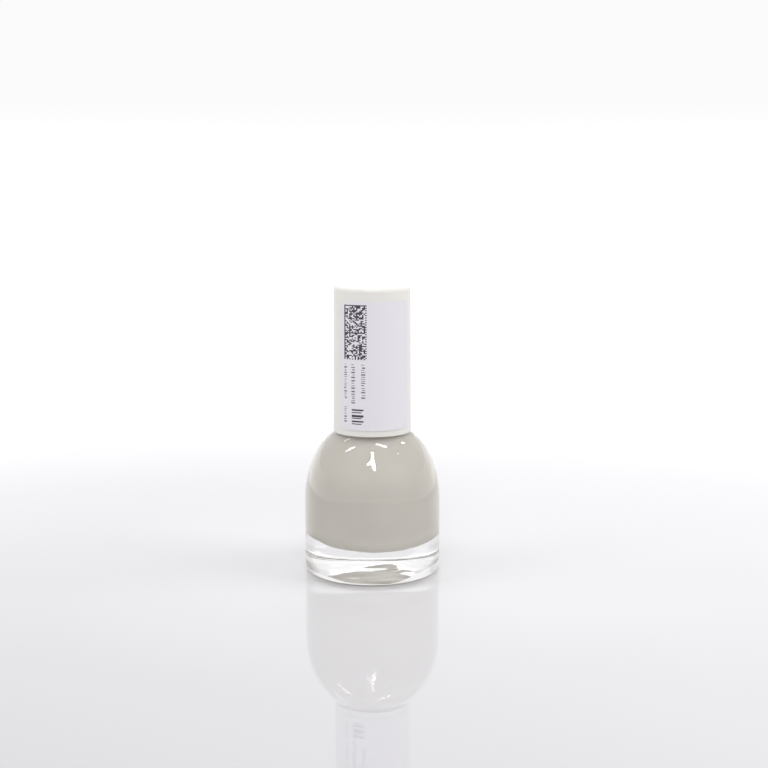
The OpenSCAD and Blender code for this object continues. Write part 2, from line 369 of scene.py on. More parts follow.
# stem: white plastic, with a film of lacquer over the length that dips in
stem = Mat("stem_plastic", (0.82, 0.82, 0.80), 0.30, IOR=1.49)
sep = stem.add("ShaderNodeSeparateXYZ")
stem.link(stem.coords(), sep.inputs[0])
run = stem.noise(700, 4.0, 0.6, (1, 1, 0.22), 0.6)
edge = stem.math("ADD", sep.outputs["Z"], stem.span(run, -0.0022, 0.0022))
wet = stem.span(edge, 1.0, 0.0, 0.0291, 0.0297)
tint = stem.noise(260, 4.0, 0.6)
stem.to("Base Color", stem.mix(wet,
        stem.ramp(tint, [(0.3, (0.80, 0.80, 0.78)), (0.7, (0.835, 0.835, 0.815))]),
        stem.ramp(tint, [(0.3, (0.64, 0.612, 0.552)), (0.7, (0.68, 0.652, 0.591))])))
stem.to("Roughness", stem.span(wet, 0.34, 0.10))
stem.bump(stem.math("ADD", stem.math("MULTIPLY", wet, 0.7), stem.math("MULTIPLY", run, 0.3)), 0.35, 0.00008)

# bristles: dark nylon filaments, mostly under a wet film of lacquer
brist = Mat("bristle_nylon", (0.4, 0.4, 0.37), 0.2, IOR=1.53)
streak = brist.noise(2600, 3.0, 0.6, (1, 1, 0.06), 0.3)
brist.to("Base Color", brist.ramp(streak, [(0.30, (0.06, 0.058, 0.055)), (0.40, (0.48, 0.46, 0.405)), (0.55, (0.64, 0.612, 0.552))]))
brist.to("Roughness", brist.span(streak, 0.30, 0.10, 0.3, 0.6))

film = Mat("bristle_film", (0.64, 0.612, 0.552), 0.10, IOR=1.5, Coat_Weight=0.4, Coat_Roughness=0.04)
streak = film.noise(1400, 3.0, 0.6, (1, 1, 0.1))
film.to("Base Color", film.ramp(streak, [(0.3, (0.59, 0.565, 0.51)), (0.7, (0.665, 0.637, 0.576))]))
film.bump(streak, 0.4, 0.00006)

steel = Mat("ball_steel", (0.72, 0.72, 0.72), 0.12, Metallic=1.0)
scr = steel.noise(5200, 3.0, 0.7, (1, 0.1, 1))
steel.to("Roughness", steel.span(scr, 0.07, 0.22, 0.35, 0.7))
steel.bump(scr, 0.06, 0.00003)

brass = Mat("anchor_brass", (0.78, 0.57, 0.25), 0.3, Metallic=1.0)
scr = brass.noise(6500, 3.0, 0.7, (0.08, 1, 1))
brass.to("Base Color", brass.ramp(scr, [(0.3, (0.70, 0.50, 0.21)), (0.7, (0.82, 0.61, 0.29))]))
brass.to("Roughness", brass.span(scr, 0.22, 0.42, 0.3, 0.7))

foil = Mat("antenna_foil", (0.86, 0.86, 0.87), 0.25, Metallic=1.0)
roll = foil.noise(3800, 3.0, 0.7, (1, 1, 0.05))
foil.to("Roughness", foil.span(roll, 0.18, 0.36, 0.3, 0.7))
foil.bump(roll, 0.1, 0.00001)

chip = Mat("chip_silicon", (0.05, 0.05, 0.058), 0.3)
grain = chip.noise(9000, 2.0)
chip.to("Base Color", chip.ramp(grain, [(0.3, (0.04, 0.04, 0.047)), (0.7, (0.065, 0.065, 0.075))]))

# smooth label stock: cool white face, fibre mottle, cut edge painted a shade greyer as the shadow along the label's
# edge, dark ink
paper = Mat("label_paper", (0.644, 0.622, 0.659), 0.55, IOR=1.45, Specular_IOR_Level=0.2)
mott = paper.noise(2400, 5.0, 0.65)
paper.to("Base Color", paper.ramp(mott, [(0.28, (0.632, 0.609, 0.646)), (0.5, (0.644, 0.622, 0.659)), (0.74, (0.654, 0.632, 0.669))]))
fibre = paper.noise(7200, 4.0, 0.65, (1, 1, 0.45), 0.8)
paper.to("Roughness", paper.span(fibre, 0.48, 0.64, 0.3, 0.7))
paper.bump(fibre, 0.12, 0.00002)

# painted shade: the sheet's cut edge is painted greyer than its face
cut = Mat("label_edge_painted_shade", (0.62, 0.61, 0.62), 0.8)
mott = cut.noise(6000, 3.0)
cut.to("Base Color", cut.ramp(mott, [(0.3, (0.55, 0.54, 0.55)), (0.7, (0.68, 0.67, 0.68))]))

ink = Mat("label_ink", (0.035, 0.03, 0.045), 0.5, IOR=1.5)
wear = ink.noise(9000, 3.0, 0.6)
ink.to("Base Color", ink.ramp(wear, [(0.25, (0.022, 0.019, 0.030)), (0.62, (0.036, 0.031, 0.046)), (0.80, (0.085, 0.08, 0.1))]))
ink.to("Roughness", ink.span(wear, 0.42, 0.6, 0.3, 0.7))

ink_fine = Mat("label_ink_light", (0.12, 0.112, 0.135), 0.5, IOR=1.5)
wear = ink_fine.noise(9000, 3.0, 0.6)
ink_fine.to("Base Color", ink_fine.ramp(wear, [(0.25, (0.09, 0.083, 0.105)), (0.8, (0.19, 0.18, 0.21))]))

# ---------------------------------------------------------------------------
# Glass bottle
# ---------------------------------------------------------------------------
FOOT_IN, FOOT_STEP = 13.6, 12.8      # foot ring: inner edge, and where its inner flank ends
RECESS = 0.40                        # hollow inside the ring
PUSH_H, PUSH_R, PUSH_A = 1.95, 14.5, 1.5   # push-up inside it: a low cone with a round tip, off centre
PUSH_X, PUSH_Y = 2.5, 1.0
RING_R, RING_W, RING_H = 7.2, 0.4, 0.03   # faint mould ring on its flank
WAVE = 0.040                         # unevenness of the underside


def thread_height(a, z, z0, first, last, root, crest, fade=math.radians(40)):
    """0 to 1 over a right-hand ridge whose centre rises with the angle."""
    best = np.zeros_like(a)
    for k in range(-2, 3):
        t = a + 2 * math.pi * k
        f = np.clip(np.minimum((t - first) / fade, (last - t) / fade), 0, 1)
        d = np.abs(z - (z0 + PITCH * t / (2 * math.pi)))
        best = np.maximum(best, f * (1 - smooth(crest, root, d)))
    return best


def floor_z(x, y):
    """The cavity floor: nearly level, a little uneven, as pressed glass is."""
    rim = smooth(7.0, 8.6, np.hypot(x, y)) * (0.65 * (1 - smooth(-9.5, 0.5, x)) + 0.17 * smooth(5.0, 9.0, x))
    return rim + 0.06 * np.exp(-((x - 1.5) ** 2 + (y + 1.0) ** 2) / 30.0)


def under_z(x, y):
    """The underside: a foot ring, a hollow inside it and a low push-up."""
    r = np.hypot(x, y)
    flank = RECESS * (1 - smooth(FOOT_STEP, FOOT_IN, r))
    dx = (x - PUSH_X) * np.where(x > PUSH_X, 2.4, 1.0)
    dy = (y - PUSH_Y) * np.where(y > PUSH_Y, 1.25, 1.0)
    d = np.sqrt(dx ** 2 + dy ** 2 + PUSH_A ** 2)
    rise = PUSH_H * (1 - d / PUSH_R) + RING_H * np.tanh((d - RING_R) / RING_W)
    # the chilled underside of pressed glass is slightly wavy
    wave = np.sin(0.30 * x + 0.95 * y + 0.8) + 0.7 * np.sin(-0.45 * x + 1.30 * y + 2.1) + 0.4 * np.sin(0.9 * x + 0.35 * y + 4.0)
    flank = flank + WAVE * wave * (1 - smooth(10.0, 12.4, r)) * smooth(-9.0, -4.0, x) * (1 - smooth(6.0, 9.0, x))
    return flank + 0.5 * (rise + np.sqrt(rise * rise + 0.0025)) * (1 - smooth(12.2, 13.0, r))


e = 1.0
under = [(float(r), 0.0) for r in np.concatenate([np.linspace(0, 12.1, 70), np.linspace(12.2, 13.7, 26), [13.8, BODY_R - e]])]
outer = join(
    under,
    arc(BODY_R - e, e, e, -90, 0, 24),
    line((BODY_R, e), (BODY_R, BODY_H), 14),
    dome(BODY_R, DOME_H, dome_t(LAND_R, BODY_R), 64),
    [(LAND_R - t, land(t)) for t in np.linspace(0, LAND_L, 16)],
    [(NECK_R + 0.12, land(LAND_L) + 0.03), (NECK_R + 0.03, land(LAND_L) + 0.11), (NECK_R, land(LAND_L) + 0.22)],
    line((NECK_R, land(LAND_L) + 0.22), (NECK_R, NECK_Z - 0.45), 130),
    arc(NECK_R - 0.45, NECK_Z - 0.45, 0.45, 0, 90, 8),
)
n_outer = len(outer)
inner = join(
    arc(BORE_R + 0.45, NECK_Z - 0.45, 0.45, 90, 180, 8),
    line((BORE_R, NECK_Z - 0.45), (BORE_R, 31.6), 12),
    list(reversed(dome(CAV_R, CAV_H, dome_t(BORE_R, CAV_R), 56, CAV_UP))),
    line((CAV_R, BODY_H + CAV_UP), (CAV_R, FLOOR_H + CAV_C), 8),
    list(reversed(arc(CAV_R - CAV_C, FLOOR_H + CAV_C, CAV_C, -90, 0, 18))),
    [(r, FLOOR_H) for r in np.linspace(CAV_R - CAV_C, 0, 26)],
)
profile = join(outer, inner)


def glass_shape(r, z, a):
    x, y = r * np.cos(a), r * np.sin(a)
    if np.all(z < 1e-6):
        return r, under_z(x, y)
    if np.all((z > 31.7) & (r > 5.0) & (z < NECK_Z - 0.2) & (r < 6.0)):
        h = thread_height(a, z, THREAD_Z0, 0.0, math.radians(630), 0.65, 0.22)
        return r + 0.75 * h, z
    if np.all((r < CAV_R + 0.01) & (z < FLOOR_H + CAV_C) & (z > 2.0)):
        w = 1 - smooth(FLOOR_H, FLOOR_H + CAV_C, z)
        return r, z + w * floor_z(x, y)
    return r, z


v, f, m = lathe(profile, 320, glass_shape)
bottle = build("bottle_glass", v, f, [glass.m], m, sharp=50)
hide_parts("glass_bottle")
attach(bottle, "bottle")

# ---------------------------------------------------------------------------
# Lacquer: it wets the glass, so its skin lies a hair inside the glass surface
# ---------------------------------------------------------------------------
SK = 0.02
LR, LH, LC = CAV_R + SK, CAV_H + SK, CAV_C + SK
top_r = dome_r(FILL_Z + 0.22, LR, LH, CAV_UP)
skin = join(
    [(r, FLOOR_H - SK) for r in np.linspace(0, LR - LC, 26)],
    arc(LR - LC, FLOOR_H - SK + LC, LC, -90, 0, 18),
    line((LR, FLOOR_H - SK + LC), (LR, BODY_H + CAV_UP), 8),
    dome(LR, LH, dome_t(top_r, LR), 50, CAV_UP),
)
n_skin = len(skin)
level = [(top_r - 1.3 * t, FILL_Z + 0.22 * (1 - t) ** 2.4) for t in np.linspace(0, 1, 12)]
level += [(r, FILL_Z) for r in np.linspace(top_r - 1.3, 0, 10)]
surface = join(skin, level)


def lacquer_shape(r, z, a):
    x, y = r * np.cos(a), r * np.sin(a)
    if np.all(z < FLOOR_H + CAV_C):
        w = 1 - smooth(FLOOR_H - SK, FLOOR_H - SK + LC, z)
        return r, z + w * floor_z(x, y)
    return r, z


v, f, m = lathe(surface, 192, lacquer_shape, mat_of=lambda i: 0 if i < n_skin - 1 else 1)
lacquer = build("lacquer", v, f, [lacq.m, lacq_top.m], m, sharp=60)
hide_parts("lacquer_fill")
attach(lacquer, "bottle")

# ---------------------------------------------------------------------------
# Mixing balls
# ---------------------------------------------------------------------------
orbit, ball_r, ball_z = CAV_R - CAV_C - 1.4, 2.25, FLOOR_H + 2.25 + 0.1
bm = bmesh.new()
for i in range(2):
    t = math.radians(20 + 180 * i)
    bmesh.ops.create_icosphere(bm, subdivisions=5, radius=ball_r * 0.001,
                               matrix=Matrix.Translation((orbit * math.cos(t) * 0.001, orbit * math.sin(t) * 0.001, ball_z * 0.001)))
me = bpy.data.meshes.new("mixing_balls_polished")
bm.to_mesh(me)
bm.free()
me.materials.append(steel.m)
me.polygons.foreach_set("use_smooth", np.ones(len(me.polygons), bool))
balls = bpy.data.objects.new("mixing_balls_polished", me)
scene.collection.objects.link(balls)
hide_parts("mixing_balls")
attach(balls, "balls")

# ---------------------------------------------------------------------------
# Outer cap
# ---------------------------------------------------------------------------
CB = 7.42
ceil_z = CAP_Z1 - 1.2
cap_profile = join(
    [(0, ceil_z), (3.45, ceil_z)],
    arc(3.45, ceil_z - 0.15, 0.15, 90, 0, 4),
    [(3.6, ceil_z - 0.5), (3.7, ceil_z - 0.6), (4.3, ceil_z - 0.6), (4.4, ceil_z - 0.5)],
    arc(4.55, ceil_z - 0.15, 0.15, 180, 90, 4),
    [(5.2, ceil_z), (6.0, ceil_z), (CB - 0.5, ceil_z)],
    arc(CB - 0.45, ceil_z - 0.35, 0.35, 90, 0, 5),
    line((CB - 0.1, ceil_z - 0.6), (CB, INSERT_Z1 + 0.3), 10),
    [(CB, INSERT_Z1 + 0.06), (CB, INSERT_Z1 + 0.02), (CB, INSERT_Z1 - 0.2)],
    line((CB, INSERT_Z1 - 0.4), (CB, CAP_Z0 + 0.95), 12),
    [(CB + 0.02, CAP_Z0 + 0.82), (CB + 0.3, CAP_Z0 + 0.45), (CB + 0.52, CAP_Z0 + 0.14)],
    arc(CB + 0.66, CAP_Z0 + 0.12, 0.12, 190, 270, 5),
    arc(CAP_R0 - 0.16, CAP_Z0 + 0.16, 0.16, -90, 0, 6),
    line((cap_r(CAP_Z0 + 0.2), CAP_Z0 + 0.2), (cap_r(CAP_Z1 - CAP_E), CAP_Z1 - CAP_E), 24),
    arc(CAP_R1 - CAP_E, CAP_Z1 - CAP_E, CAP_E, 0, 90, 18),
    [(r, CAP_Z1) for r in np.linspace(CAP_R1 - CAP_E, 0, 12)],
)
rib_top = ceil_z - 0.2


def cap_shape(r, z, a):
    # stop ribs on the bore's wall, above the threaded insert
    if np.all((z > INSERT_Z1 + 0.025) & (z < rib_top) & (r > 7.0) & (r < CB + 0.01)):
        d = np.abs((a + math.radians(30)) % math.radians(60) - math.radians(30)) * r
        return r - 1.95 * (1 - smooth(0.33, 0.45, d)), z
    return r, z


v, f, m = lathe(cap_profile, 360, cap_shape)
cap = build("cap_shell", v, f, [capm.m], m, sharp=45)
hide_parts("outer_cap")
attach(cap, "cap")

# ---------------------------------------------------------------------------
# Threaded insert
# ---------------------------------------------------------------------------
SK_R, IW = 7.12, 6.65
ins_profile = join(
    [(IW + 0.22, INSERT_Z0 + 0.02), (IW + 0.3, INSERT_Z0), (SK_R - 0.1, INSERT_Z0), (SK_R, INSERT_Z0 + 0.1)],
    line((SK_R, INSERT_Z0 + 0.45), (SK_R, INSERT_Z0 + 0.75), 6),
    line((SK_R, INSERT_Z0 + 0.9), (SK_R, INSERT_Z1 - 1.0), 10),
    line((SK_R, INSERT_Z1 - 0.85), (SK_R, INSERT_Z1 - 0.55), 6),
    arc(SK_R - 0.4, INSERT_Z1 - 0.4, 0.4, 0, 90, 6),
    line((SK_R - 0.4, INSERT_Z1), (2.35, INSERT_Z1), 10),
    arc(2.35, INSERT_Z1 - 0.1, 0.1, 90, 180, 4),
    line((2.25, INSERT_Z1 - 0.1), (2.25, DISC_Z + 0.1), 4),
    arc(2.35, DISC_Z + 0.1, 0.1, 180, 270, 4),
    line((2.35, DISC_Z), (IW - 0.3, DISC_Z), 8),
    arc(IW - 0.3, DISC_Z - 0.3, 0.3, 90, 0, 5),
    line((IW, DISC_Z - 0.3), (IW, INSERT_Z0 + 0.45), 150),
    [(IW + 0.06, INSERT_Z0 + 0.25), (IW + 0.16, INSERT_Z0 + 0.08)],
)


def insert_shape(r, z, a):
    if np.all(np.abs(r - SK_R) < 1e-4) and np.all((z > INSERT_Z0 + 0.4) & (z < INSERT_Z1 - 0.5)):
        d = np.abs((a + math.radians(7.5)) % math.radians(15) - math.radians(7.5)) * r
        end = smooth(INSERT_Z0 + 0.5, INSERT_Z0 + 0.7, z) * (1 - smooth(INSERT_Z1 - 0.9, INSERT_Z1 - 0.65, z))
        return r + 0.26 * (1 - smooth(0.2, 0.34, d)) * end, z
    if np.all(np.abs(r - IW) < 1e-4) and np.all(z < DISC_Z - 0.25):
        h = thread_height(a, z, THREAD_Z0 - 0.79, math.radians(-290), math.radians(570), 0.448, 0.18)
        return r - 0.65 * h, z
    return r, z


v, f, m = lathe(ins_profile, 360, insert_shape, loop=True)
ins = build("threaded_insert", v, f, [insert.m], m, sharp=45)
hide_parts("inner_cap")
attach(ins, "cap")

# ---------------------------------------------------------------------------
# Seal washer
# ---------------------------------------------------------------------------
zl, zh = NECK_Z + 0.02, NECK_Z + 0.48
wash = join(
    arc(2.25, zl + 0.1, 0.1, 180, 270, 4), line((2.25, zl), (5.7, zl), 12),
    arc(5.7, zl + 0.15, 0.15, -90, 0, 5), arc(5.7, zh - 0.15, 0.15, 0, 90, 5),
    line((5.7, zh), (2.25, zh), 12), arc(2.25, zh - 0.1, 0.1, 90, 180, 4))
v, f, m = lathe(wash, 192, loop=True)
washer = build("seal_ring", v, f, [seal.m], m, sharp=60)
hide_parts("seal_washer")
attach(washer, "seal")

# ---------------------------------------------------------------------------
# Brush stem
# ---------------------------------------------------------------------------
zf = NECK_Z + 0.5
tip_r, stem_r = 1.55, 1.75
stem_profile = join(
    [(0, STEM_Z0 + 6.0), (1.05, STEM_Z0 + 6.0), (1.15, STEM_Z0 + 5.9)],
    line((1.15, STEM_Z0 + 5.9), (1.15, STEM_Z0 + 0.1), 8),
    [(1.19, STEM_Z0 + 0.02), (1.25, STEM_Z0)],
    arc(tip_r - 0.24, STEM_Z0 + 0.24, 0.24, -90, 0, 8),
    line((tip_r, STEM_Z0 + 0.24), (stem_r, zf - 0.35), 46),
    arc(stem_r + 0.35, zf - 0.35, 0.35, 180, 90, 6),
    line((stem_r + 0.4, zf), (5.5, zf), 8),
    arc(5.5, zf + 0.1, 0.1, -90, 0, 4), arc(5.5, zf + 0.68, 0.1, 0, 90, 4),
    line((5.5, zf + 0.78), (2.3, zf + 0.78), 6),
    [(2.22, zf + 0.8), (2.2, zf + 0.88), (2.2, INSERT_Z1 + 0.03), (2.5, INSERT_Z1 + 0.03), (2.55, INSERT_Z1 + 0.08), (2.55, INSERT_Z1 + 0.33)],
    line((2.52, INSERT_Z1 + 0.42), (1.98, INSERT_Z1 + 1.28), 5),
    [(1.88, INSERT_Z1 + 1.38), (1.75, INSERT_Z1 + 1.4), (0.9, INSERT_Z1 + 1.4), (0, INSERT_Z1 + 1.4)],
)
v, f, m = lathe(stem_profile, 128)
rod = build("brush_rod", v, f, [stem.m], m, sharp=45)
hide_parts("brush_stem")
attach(rod, "cap")

# ---------------------------------------------------------------------------
# Bristles: separate filaments round a wet core
# ---------------------------------------------------------------------------
rng = random.Random(11)
ROOT_R, BELLY_R, ROOT_TOP = 1.05, 1.36, STEM_Z0 + 3.6


def tuft_r(s):
    """Outline of the free bristles: s is 0 at the stem and 1 at the tip."""
    return ROOT_R + (BELLY_R - ROOT_R) * math.sin(min(s / 0.62, 1) * math.pi / 2) - (BELLY_R - 1.12) * max(0, (s - 0.62) / 0.38) ** 1.6


verts, faces, mats = [], [], []
count, sides, steps = 420, 6, 12
for i in range(count):
    u = math.sqrt((i + 0.5) / count)
    ang = i * 2.399963 + rng.uniform(-0.08, 0.08)
    wave, ph = rng.uniform(-0.035, 0.035), rng.uniform(0, 6.28)
    tip = TIP_Z + 1.35 * (1 - math.sqrt(max(0, 1 - (0.93 * u) ** 2))) + rng.uniform(0.02, 0.22)
    thick = 0.052 * rng.uniform(0.9, 1.08)
    base = len(verts)
    for k in range(steps + 1):
        s = k / steps
        z = ROOT_TOP + (tip - ROOT_TOP) * s
        q = max(0.0, (STEM_Z0 - z) / (STEM_Z0 - TIP_Z))
        rad = u * tuft_r(q) * 0.955
        aa = ang + wave * math.sin(ph + 5 * s)
        cx, cy = rad * math.cos(aa), rad * math.sin(aa)
        th = thick * (1 - 0.45 * max(0, s - 0.75) / 0.25)
        for j in range(sides):
            t = 2 * math.pi * j / sides + ang
            verts.append((cx + th * math.cos(t), cy + th * math.sin(t), z))
    for k in range(steps):
        for j in range(sides):
            n = (j + 1) % sides
            p, q = base + k * sides, base + (k + 1) * sides
            faces.append((p + j, q + j, q + n, p + n))
            mats.append(0)
    faces.append(tuple(base + j for j in range(sides)))
    mats.append(0)
    end = base + steps * sides
    faces.append(tuple(end + j for j in reversed(range(sides))))
    mats.append(0)
core = [(0.0, TIP_Z + 0.75)]
for k in range(1, 7):
    t = math.pi / 2 * k / 6
    core.append((1.02 * math.sin(t), TIP_Z + 0.75 + 1.2 * (1 - math.cos(t))))
for s in np.linspace(0.78, 0.0, 14):
    z = STEM_Z0 - (STEM_Z0 - TIP_Z) * s
    core.append((tuft_r(s) * 0.955 - 0.03, z))
core += [(ROOT_R * 0.93, STEM_Z0 + 0.6), (0.0, STEM_Z0 + 0.6)]
cv, cf, cm = lathe(core, 64)
off = len(verts)
verts += cv
faces += [tuple(off + i for i in face) for face in cf]
mats += [1] * len(cf)
bristles = build("bristles", verts, faces, [brist.m, film.m], mats, sharp=60)
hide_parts("bristle_tuft")
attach(bristles, "cap")

# ---------------------------------------------------------------------------
# Label: a paper sheet wrapped on the cap, with a plain printed pattern
# ---------------------------------------------------------------------------
LZ0, LZ1 = CAP_Z0 + 1.4, CAP_Z0 + 1.4 + 27.7
LA, LB = -53.0, 62.0
R_MID = cap_r((LZ0 + LZ1) / 2)
T_IN, T_OUT, LCORN = 0.012, 0.15, 0.7
prng = random.Random(5)
marks = []          # (angle 0, angle 1, z 0, z 1, ink)
# mosaic block of square cells, laid out at random
ma0, ma1, mz0, mz1 = -43.2, -7.2, 47.9, 59.6
mc, mr = 16, 46
cells = [[prng.random() < 0.5 for _ in range(mr)] for _ in range(mc)]
for i in range(mc):                 # plain border: two sides solid, two dotted, and a line across
    cells[i][mr - 1] = cells[i][22] = True
    cells[i][0] = cells[i][23] = i % 2 == 0
for j in range(mr):
    cells[0][j] = True
    cells[mc - 1][j] = j % 2 == 1
for i in range(mc):
    j = 0
    while j < mr:
        if cells[i][j]:
            k = j
            while k < mr and cells[i][k]:
                k += 1
            marks.append((ma0 + (ma1 - ma0) * i / mc, ma0 + (ma1 - ma0) * (i + 1) / mc,
                          mz0 + (mz1 - mz0) * j / mr, mz0 + (mz1 - mz0) * k / mr, 1))
            j = k
        else:
            j += 1
# columns of plain ticks
for a0, a1, zt, zb in ((-43.4, -38.4, 46.9, 39.3), (-43.4, -38.4, 37.6, 33.8), (-30.6, -24.8, 46.9, 38.5), (-15.4, -9.4, 46.9, 39.5)):
    z = zt
    while z > zb + 0.25:
        w = prng.choice((0.14, 0.14, 0.22, 0.32))
        marks.append((a0 + prng.choice((0, 0, 1.2)), a1 - prng.choice((0, 0, 1.4)), z - w, z, 2))
        z -= w + prng.choice((0.26, 0.3, 0.42))
# a short row of plain bars
for i, w in enumerate((0.5, 0.3, 0.7, 0.3, 0.5, 0.3)):
    z = 37.2 - 0.62 * i
    marks.append((-30.0, -12.0 - 3.0 * (i % 2), z - w * 0.7, z, 1))

us = {LA, LB} | set(np.arange(LA, LB, 2.0).tolist())
zs = {LZ0, LZ1} | set(np.arange(LZ0, LZ1, 1.0).tolist())
for a0, a1, z0, z1, _ in marks:
    us |= {round(a0, 4), round(a1, 4)}
    zs |= {round(z0, 4), round(z1, 4)}
deg = math.degrees(1 / R_MID)
for t in (0.03, 0.08, 0.16, 0.27, 0.42, 0.7):
    us |= {LA + t * deg, LB - t * deg}
    zs |= {LZ0 + t, LZ1 - t}


def thin(values, gap, keep):
    out = []
    for x in sorted(values):
        if out and x - out[-1] < gap:
            if x in keep:
                out[-1] = x
            continue
        out.append(x)
    return np.array(out)


us, zs = thin(us, 0.02, (LA, LB)), thin(zs, 0.004, (LZ0, LZ1))
nu, nz = len(us), len(zs)
A, Z = np.meshgrid(us, zs, indexing="ij")
# round the corners by easing the margins in
da = np.minimum(A - LA, LB - A) / deg
ease = np.where(da < LCORN, LCORN - np.sqrt(np.clip(LCORN ** 2 - (LCORN - np.clip(da, 0, LCORN)) ** 2, 0, None)), 0)
MARGIN = 0.95
hi_w = np.clip((Z - (LZ1 - MARGIN)) / MARGIN, 0, 1)
lo_w = np.clip(((LZ0 + MARGIN) - Z) / MARGIN, 0, 1)
Zw = Z - ease * hi_w + ease * lo_w
rad0 = CAP_R0 + (CAP_R1 - CAP_R0) * (Zw - CAP_Z0) / CAP_H
ph = np.radians(A)


def sheet_points(t):
    return np.stack([(rad0 + t) * np.sin(ph), -(rad0 + t) * np.cos(ph), Zw], -1).reshape(-1, 3)


verts = np.vstack([sheet_points(T_OUT), sheet_points(T_IN)])
faces, mats = [], []
inkmap = np.zeros((nu - 1, nz - 1), int)
um, zm = (us[:-1] + us[1:]) / 2, (zs[:-1] + zs[1:]) / 2
for a0, a1, z0, z1, kind in marks:
    inkmap[np.ix_((um > a0) & (um < a1), (zm > z0) & (zm < z1))] = kind
N = nu * nz
for i in range(nu - 1):
    for j in range(nz - 1):
        p, q, r, s = i * nz + j, (i + 1) * nz + j, (i + 1) * nz + j + 1, i * nz + j + 1
        faces.append((p, q, r, s))
        mats.append((0, 2, 3)[inkmap[i, j]])
        faces.append((N + s, N + r, N + q, N + p))
        mats.append(0)
for i in range(nu - 1):
    p, q = i * nz, (i + 1) * nz
    faces.append((p, N + p, N + q, q))
    faces.append((q + nz - 1, N + q + nz - 1, N + p + nz - 1, p + nz - 1))
    mats += [1, 1]
for j in range(nz - 1):
    p, q = j, j + 1
    faces.append((q, N + q, N + p, p))
    p, q = (nu - 1) * nz + j, (nu - 1) * nz + j + 1
    faces.append((p, N + p, N + q, q))
    mats += [1, 1]
label = build("label_sheet", verts, faces, [paper.m, cut.m, ink.m, ink_fine.m], mats, sharp=50)
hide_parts("cap_label")
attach(label, "cap")

# pieces that keep their construction shape
for name, mat in (("bristle_staple", brass), ("label_antenna", foil), ("label_chip", chip)):
    me = nodes_cad[name].data
    me.materials.clear()
    me.materials.append(mat.m)

# ---------------------------------------------------------------------------
# Stage: a glossy white table that melts into a white surround
# ---------------------------------------------------------------------------
me = bpy.data.meshes.new("table")
S = 3.0
me.from_pydata([(-S, -S, 0), (S, -S, 0), (S, S, 0), (-S, S, 0)], [], [(0, 1, 2, 3)])
table = bpy.data.objects.new("table", me)
table.location = (0, 0, -0.00002)
scene.collection.objects.link(table)
tm = Mat("table_white", (0.52, 0.515, 0.53), 0.03, IOR=2.0)
tm.to("Roughness", tm.span(tm.noise(40, 3.0), 0.004, 0.008))
tsep = tm.add("ShaderNodeSeparateXYZ")
tm.link(tm.coords(), tsep.inputs[0])
# painted light: the table is painted darker towards the front and the left, and paler round the bottle where the
# bottle's shade falls
table_painted_light = tm.math("ADD", tm.span(tsep.outputs["Y"], 0.36, 0.90, -0.10, 0.03), tm.span(tsep.outputs["X"], -0.14, 0.16, -0.06, 0.06))
near = tm.add("ShaderNodeVectorMath", operation="LENGTH")
tm.link(tm.coords(), near.inputs[0])
table_painted_light = tm.math("ADD", table_painted_light, tm.span(near.outputs["Value"], 0.20, 0.0, 0.015, 0.075))
tcol = tm.ramp(table_painted_light, [(0.0, (0.429, 0.425, 0.441)), (1.0, (0.633, 0.629, 0.644))])
# painted contact shadow: a shade darker in front of the foot
contact_shadow = tm.math("MULTIPLY", tm.span(near.outputs["Value"], 0.0, 1.0, 0.0130, 0.0140), tm.span(near.outputs["Value"], 1.0, 0.0, 0.0140, 0.0195))
ahead = tm.span(tm.math("DIVIDE", tsep.outputs["Y"], near.outputs["Value"]), 0.0, 1.0, -0.45, -1.0)
tm.to("Base Color", tm.mix(tm.math("MULTIPLY", contact_shadow, ahead), tcol, (0.320, 0.316, 0.328)))
sub = tm.add("ShaderNodeVectorMath", operation="SUBTRACT")
sub.inputs[1].default_value = (0.0, -0.12, 0.0)
tm.link(tm.coords(), sub.inputs[0])
ln = tm.add("ShaderNodeVectorMath", operation="LENGTH")
tm.link(sub.outputs[0], ln.inputs[0])
fade = tm.add("ShaderNodeMapRange", interpolation_type="SMOOTHERSTEP")
for k, val in (("From Min", 0.135), ("From Max", 0.44), ("To Min", 0.0), ("To Max", 1.0)):
    fade.inputs[k].default_value = val
tm.link(ln.outputs["Value"], fade.inputs["Value"])
side = tm.add("ShaderNodeMapRange", interpolation_type="SMOOTHERSTEP")
for k, val in (("From Min", 0.105), ("From Max", 0.19), ("To Min", 1.0), ("To Max", 0.0)):
    side.inputs[k].default_value = val
tm.link(tm.math("ABSOLUTE", tsep.outputs["X"]), side.inputs["Value"])
kept = tm.math("MULTIPLY", side.outputs["Result"], tm.math("SUBTRACT", 1.0, fade.outputs["Result"]))
tr = tm.add("ShaderNodeBsdfTransparent")
mx = tm.add("ShaderNodeMixShader")
tm.link(tm.math("SUBTRACT", 1.0, kept), mx.inputs[0])
tm.link(tm.p.outputs[0], mx.inputs[1])
tm.link(tr.outputs[0], mx.inputs[2])
tm.link(mx.outputs[0], tm.out.inputs["Surface"])
me.materials.append(tm.m)

# ---------------------------------------------------------------------------
# Light: a white surround and a few softboxes
# ---------------------------------------------------------------------------
world = bpy.data.worlds.new("surround")
scene.world = world
world.use_nodes = True
wt = world.node_tree
bg = next(n for n in wt.nodes if n.type == "BACKGROUND")


def wnode(kind, links=(), **values):
    n = wt.nodes.new(kind)
    for k, v in values.items():
        setattr(n, k, v)
    for i, v in enumerate(links):
        if isinstance(v, (int, float)):
            n.inputs[i].default_value = v
        elif v is not None:
            wt.links.new(v, n.inputs[i])
    return n


def wramp(x, x0, x1, y0, y1):
    n = wnode("ShaderNodeMapRange", (x, x0, x1, y0, y1), interpolation_type="SMOOTHSTEP")
    return n.outputs["Result"]


tc = wt.nodes.new("ShaderNodeTexCoord")
sx = wnode("ShaderNodeSeparateXYZ", (tc.outputs["Generated"],))
X, Y, Zd = sx.outputs[0], sx.outputs[1], sx.outputs[2]
